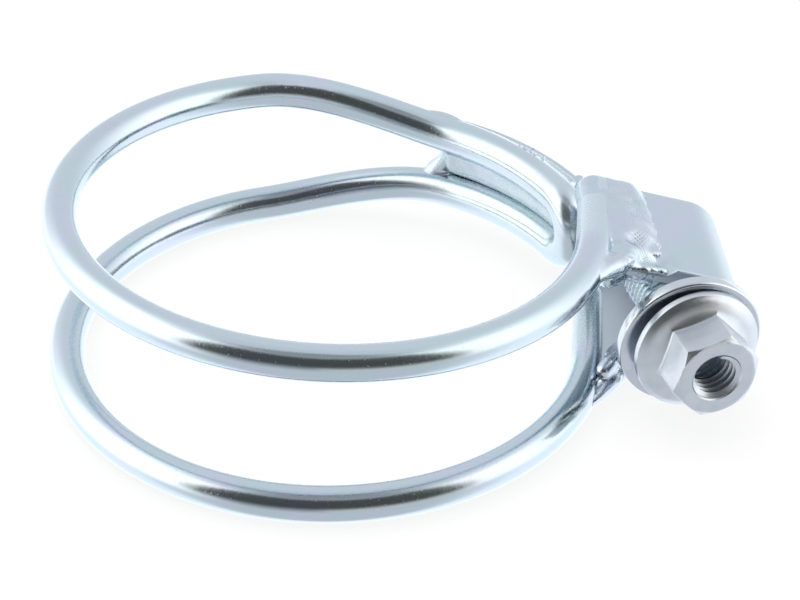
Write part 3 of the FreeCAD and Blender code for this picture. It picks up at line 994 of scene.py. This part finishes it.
def scaled(wayOf, size, seed):
    # shallow scales one pitch apart along a bead, and slow unevenness; none on the inner side
    def surface(place):
        uneven = noise.noise(place / weld["waveSize"] + Vector((seed, 0, 0)))
        phase = wayOf(place) / size["ripple"] + weld["scaleDrift"] * uneven
        out = hypot(place.x, place.y)
        scale = size["rippleDepth"] * 0.5 * easeIn(out, weld["scalesFrom"], weld["scalesFull"])
        return scale * cos(2 * pi * phase) + uneven * weld["waveDepth"]
    return surface


def onRing(angle, out, height):
    # out from the pipe's axis and height from the strands' middle, in mm
    return along(angle) * out * mm + up * (midHeight(angle) + height * mm)


anchorWeld = {
    "radius": 1.25 * mm, "start": 30.5, "end": 65.5, "steps": 35, "gap": 0.5 * mm,
    "thickening": 0.14, "skinLean": 0.8,
    # the fat end of the bead: (angle, lift from the strand's middle, radius), in mm
    "swelling": [
        (61.5, 1.35, 1.9), (63.0, 1.5, 2.0), (64.5, 1.6, 2.0),
        (66.0, 1.55, 2.0), (67.5, 1.45, 1.96), (69.0, 1.25, 1.9),
    ],
    "swellingLean": 1.2,
    # spatter on the outer flank: (angle, out, height from the middle, radius), in mm
    "spatter": [
        (43.6, 44.9, 8.1, 0.36), (42.2, 45.6, 7.9, 0.42), (40.6, 45.1, 8.0, 0.34),
        (38.8, 45.9, 7.5, 0.40), (45.4, 45.3, 8.0, 0.3),
    ],
    "ripple": 1.0 * mm, "rippleDepth": 0.035 * mm, "rounds": 12,
}
slotFill = {
    # the metal in the slot between the strands: its middle and half widths, in mm
    "start": 30.0, "end": 62.3, "steps": 40, "gap": 0.4 * mm, "out": 44.1,
    "height": -0.1, "widths": (1.8, 1.8, 2.6),
    "brow": 1.7,  # of the roll along its top, above its middle
    "browRadius": 1.9,
    "drops": (-0.45, 0.0, 0.7),  # how far its metal leans out under the upper strand
    "proud": 0.08 * mm,
    "filmOut": 44.0,  # the film reaches out to here and up to here
    "filmHeight": 3.0, "filmFade": 1.6,
}


def buildAnchorWeld(side, name, node):
    bm = bmesh.new()
    size = anchorWeld
    middle = (wire["neckEnd"] + wire["turnAngle"]) / 2
    z = midHeight(middle) + side * (plate["width"] / 2 - size["radius"] / 4)
    distance = wire["loopRadius"] + wire["radius"] + size["radius"] / 4
    path = []
    for k, angle in enumerate(spread(size["start"], size["end"], size["steps"])):
        uneven = noise.noise(Vector((k * 0.23, 5.7 * side, 0)))
        radius = size["radius"] * (1 + size["thickening"] * uneven)
        path.append((along(angle) * distance + up * z, ball(radius)))
        way = (along(angle) + up * side * size["skinLean"]).normalized()
        skinLump(bm, strandPoint(angle, side), way)
    run(bm, path, gap=size["gap"])
    for angle, lift, radius in size["swelling"]:
        way = (along(angle) + up * side * size["swellingLean"]).normalized()
        lump(bm, strandPoint(angle, side) + way * lift * mm, widths(radius))
    for angle, out, height, radius in size["spatter"]:
        lump(bm, onRing(angle, out, side * height), widths(radius))
    if side > 0:
        # the slot is filled from above, against the plate's inner face
        path = []
        for angle in spread(slotFill["start"], slotFill["end"], slotFill["steps"]):
            out, height = slotFill["out"], slotFill["height"]
            path.append((onRing(angle, out, height), widths(*slotFill["widths"])))
            lump(bm, onRing(angle, out, height + slotFill["brow"]), widths(slotFill["browRadius"]))
            for drop in slotFill["drops"]:
                way = (along(angle) * drop - up).normalized()
                skinLump(bm, strandPoint(angle, side), way, slotFill["proud"])
        run(bm, path, gap=slotFill["gap"])

    def wayOf(place):
        return atan2(place.y, place.x) * distance

    def dull(place):
        # only the fill inside the tongue
        inwards = slotFill["filmOut"] - hypot(place.x, place.y) / mm
        height = (place.z - midHeight(degrees(atan2(place.y, place.x)))) / mm
        under = easeIn(slotFill["filmHeight"] - side * height, 0, slotFill["filmFade"])
        return weld["film"] * easeIn(inwards, 0, 1.0) * under

    surface = scaled(wayOf, size, 5.7 * side)
    finishWeld(name, node, bm, size, surface, dull)


buildAnchorWeld(1, "anchorWeldUpper", "anchor_weld_upper")
buildAnchorWeld(-1, "anchorWeldLower", "anchor_weld_lower")


endWeld = {
    # the web from the lower strand to the upper and its side on the plate's end: (angle, share of
    # the way from the middle to a strand's middle, radius in mm), and how far out they lie
    "web": [
        (66.6, -0.55, 2.0), (65.6, -0.36, 1.75), (64.6, -0.15, 1.6),
        (63.6, 0.1, 1.6), (62.6, 0.34, 1.7), (61.8, 0.55, 1.9),
    ],
    "webOut": 44.1,
    "plateSide": [(63.6, -0.42, 1.8), (62.6, 0.0, 1.8), (62.0, 0.42, 1.8)],
    "plateSideOut": 45.6, "gap": 0.35 * mm, "skinStart": 60.5, "skinEnd": 70.0,
    "skinSteps": 11, "skinLean": 0.35, "ripple": 1.1 * mm, "rippleDepth": 0.012 * mm,
    "rounds": 10, "film": 0.25,
}


def buildEndWeld():
    # a web between the strands at the plate's end, flared where it meets them
    bm = bmesh.new()
    size = endWeld
    for key in ("web", "plateSide"):
        path = []
        for angle, share, radius in size[key]:
            height = halfSpacing(angle) * share / mm
            path.append((onRing(angle, size[key + "Out"], height), widths(radius)))
        run(bm, path, gap=size["gap"])
    for side in (1, -1):
        for angle in spread(size["skinStart"], size["skinEnd"], size["skinSteps"]):
            way = (along(angle) * size["skinLean"] - up * side).normalized()
            skinLump(bm, strandPoint(angle, side), way)
    surface = scaled(lambda place: place.z, size, 8.3)
    finishWeld("anchorWeldEnd", "anchor_weld_end", bm, size, surface, lambda place: size["film"])


buildEndWeld()


studWeld = {
    "radius": 1.7 * mm,
    "bedding": 0.1 * mm,  # of the bead in the plate
    "thickening": 0.12, "steps": 16, "gap": 0.5 * mm, "ripple": 1.1 * mm,
    "rippleDepth": 0.12 * mm, "rounds": 4,
}


def buildStudWeld(side, name, node):
    bm = bmesh.new()
    size = studWeld
    radius = size["radius"]
    bed = plate["inner"] + plate["thickness"] - size["bedding"]
    aside = thread["crest"] + radius / 3
    plateStart = studPlace["offset"] * tan(radians(plate["start"] - studPlace["angle"]))
    ends = []
    for reach in (radius - studPlace["tail"], -radius - plateStart):
        spot = studFrame @ Vector((0, -reach, side * aside))
        level = Vector((spot.x, spot.y, 0)).normalized() * (bed + radius / 3)
        ends.append(Vector((level.x, level.y, spot.z)))
    path = []
    for k in range(size["steps"] + 1):
        uneven = noise.noise(Vector((k * 0.4, 11.9 * side, 0)))
        fat = radius * (1 + size["thickening"] * uneven)
        path.append((ends[0].lerp(ends[1], k / size["steps"]), ball(fat)))
    run(bm, path, gap=size["gap"])
    way = (ends[1] - ends[0]).normalized()

    def wayOf(place):
        return (place - ends[0]).dot(way)

    surface = scaled(wayOf, size, 11.9 * side)
    finishWeld(name, node, bm, size, surface)


buildStudWeld(1, "studWeldUpper", "stud_weld_upper")
buildStudWeld(-1, "studWeldLower", "stud_weld_lower")
print("pieces made")


# floor, light and camera

def buildFloor():
    bm = bmesh.new()
    bmesh.ops.create_grid(bm, x_segments=1, y_segments=1, size=3.0)
    mesh = bpy.data.meshes.new("floor")
    bm.to_mesh(mesh)
    bm.free()
    material, add = newMaterial("whiteSweep")
    # matt white board, nearly unshaded to the eye; mirror rays pass it to the studio's own floor
    board = add("BsdfDiffuse", {"Color": hexColour("#F4F4F4")})
    glow = add("Emission", {"Color": (1, 1, 1, 1), "Strength": 1.0})
    clear = add("BsdfTransparent")
    rays = add("LightPath").outputs
    unshaded = {"operation": "MULTIPLY", 1: 0.86}
    share = add("Math", unshaded, {0: rays["Is Camera Ray"]})
    byEye = add("MixShader", {}, {0: share, 1: board, 2: glow})
    mirrored = add(
        "Math", {"operation": "MAXIMUM"},
        {0: rays["Is Glossy Ray"], 1: rays["Is Transmission Ray"]},
    )
    mixed = add("MixShader", {}, {0: mirrored, 1: byEye, 2: clear})
    add("OutputMaterial", {}, {"Surface": mixed})
    mesh.materials.append(material)
    addObject("floor", mesh)


studio = {
    # one part laid over another: (brightness under it, its own, edges), where white is 1 and a
    # name stands for an earlier part. An edge is (direction, where the part starts, where it is
    # full); x is to the right, z is up, and facing is 1 on the camera's side and -1 behind
    "floor": (1.5, 0.87, [("facing", 0.05, 0.80)]),
    "ceiling": (0.92, 0.44, [("facing", -0.10, 0.70)]),
    "walls": ("floor", 1.0, [("z", -0.10, 0.05)]),
    "room": ("walls", "ceiling", [("z", 0.86, 0.97)]),
    "leftBox": ("room", 2.2, [
        ("x", 1e-4, -1e-4), ("facing", -1.0, -0.2), ("z", -0.50, 0.06), ("z", 0.98, 0.74),
        ("facing", 0.90, 0.60),
    ]),
    "rightBox": ("leftBox", 1.9, [
        ("x", -1e-4, 1e-4), ("facing", -0.95, 0.1), ("z", -0.35, 0.10), ("z", 0.95, 0.70),
    ]),
    # the dark side that the camera stands on
    "unlitLeft": ("rightBox", 0.09, [
        ("x", 1e-4, -1e-4), ("facing", 0.50, 0.70), ("z", -0.42, 0.26), ("z", 1.0, 0.80),
    ]),
    "unlitRight": ("unlitLeft", 0.09, [
        ("x", -1e-4, 1e-4), ("facing", 0.46, 0.66), ("z", -0.42, 0.26), ("z", 1.0, 0.80),
    ]),
}


def buildWorld():
    # plain white for the camera and for soft light; the metal mirrors the studio
    world = bpy.data.worlds.new("studio")
    bpy.context.scene.world = world
    world.use_nodes = True
    world.node_tree.nodes.clear()
    add = partial(addNode, world.node_tree)
    way = add("TexCoord").outputs["Generated"]
    x, y, z = add("SeparateXYZ", {}, {0: way}).outputs
    level = add("VectorMath", {"operation": "MULTIPLY", 1: (1, 1, 0)}, {0: way})
    level = add("VectorMath", {"operation": "NORMALIZE"}, {0: level})
    facing = add("VectorMath", {"operation": "DOT_PRODUCT", 1: (0, -1, 0)}, {0: level})
    directions = {"x": x, "z": z, "facing": facing.outputs["Value"]}
    shares, levels = {}, {}
    for name, (under, over, edges) in studio.items():
        upTo = {}
        for direction, start, full in edges:
            share = add(
                "MapRange",
                {"interpolation_type": "SMOOTHSTEP", "From Min": start, "From Max": full},
                {"Value": directions[direction], **upTo},
            )
            upTo = {"To Max": share}
        shares[name] = upTo["To Max"]
        ends = {2: under, 3: over}
        plain = {k: end for k, end in ends.items() if end not in levels}
        linked = {k: levels[end] for k, end in ends.items() if end in levels}
        mixed = add("Mix", plain, {0: shares[name], **linked})
        levels[name] = mixed
    boxes = add("Math", {"operation": "ADD"}, {0: shares["leftBox"], 1: shares["rightBox"]})
    tint = colourSteps(add, boxes, [(0.0, "#F7FAFF"), (1.0, "#FFFCF6")])
    rays = add("LightPath").outputs
    mirrorLight = add("Background", {}, {"Color": tint, "Strength": levels["unlitRight"]})
    white = {"Color": (1, 1, 1, 1)}
    softLight = add("Background", {**white, "Strength": 0.85})
    whiteLight = add("Background", {**white, "Strength": 1.0})
    byGloss = add("MixShader", {}, {0: rays["Is Glossy Ray"], 1: softLight, 2: mirrorLight})
    byEye = add("MixShader", {}, {0: rays["Is Camera Ray"], 1: byGloss, 2: whiteLight})
    add("OutputWorld", {}, {"Surface": byEye})


softBox = {
    "place": (-0.15, 0.1, 0.9), "width": 0.8, "watts": 6.0,
}


def buildSoftBox():
    light = bpy.data.lights.new("softBoxOver", "AREA")
    light.shape = "SQUARE"
    light.size = softBox["width"]
    light.energy = softBox["watts"]
    lamp = addObject("softBoxOver", light)
    lamp.visible_glossy = False  # the metal mirrors the studio, and this only lays a shadow
    lamp.location = softBox["place"]
    lamp.rotation_mode = "QUATERNION"
    lamp.rotation_quaternion = (-lamp.location).to_track_quat("-Z", "Y")


view = {
    # fitted to the photo; mm, on a 36 mm wide frame, and the rows of its turn
    "lens": 159.0, "place": (0.01487112, -0.47272175, 0.3428976),
    "turn": (
        (0.99992, -0.01147, 0.00546), (0.01105, 0.57381, -0.81892), (0.00625, 0.81891, 0.57389),
    ),
}


def buildCamera():
    data = bpy.data.cameras.new("camera")
    data.lens = view["lens"]
    data.sensor_width = 36.0
    data.clip_start = 0.01
    camera = addObject("camera", data)
    camera.rotation_mode = "QUATERNION"
    camera.rotation_quaternion = Matrix(view["turn"]).to_quaternion()
    camera.location = view["place"]
    bpy.context.scene.camera = camera


buildFloor()
buildWorld()
buildSoftBox()
buildCamera()
bpy.context.scene.view_settings.view_transform = "Standard"
print("stage made")
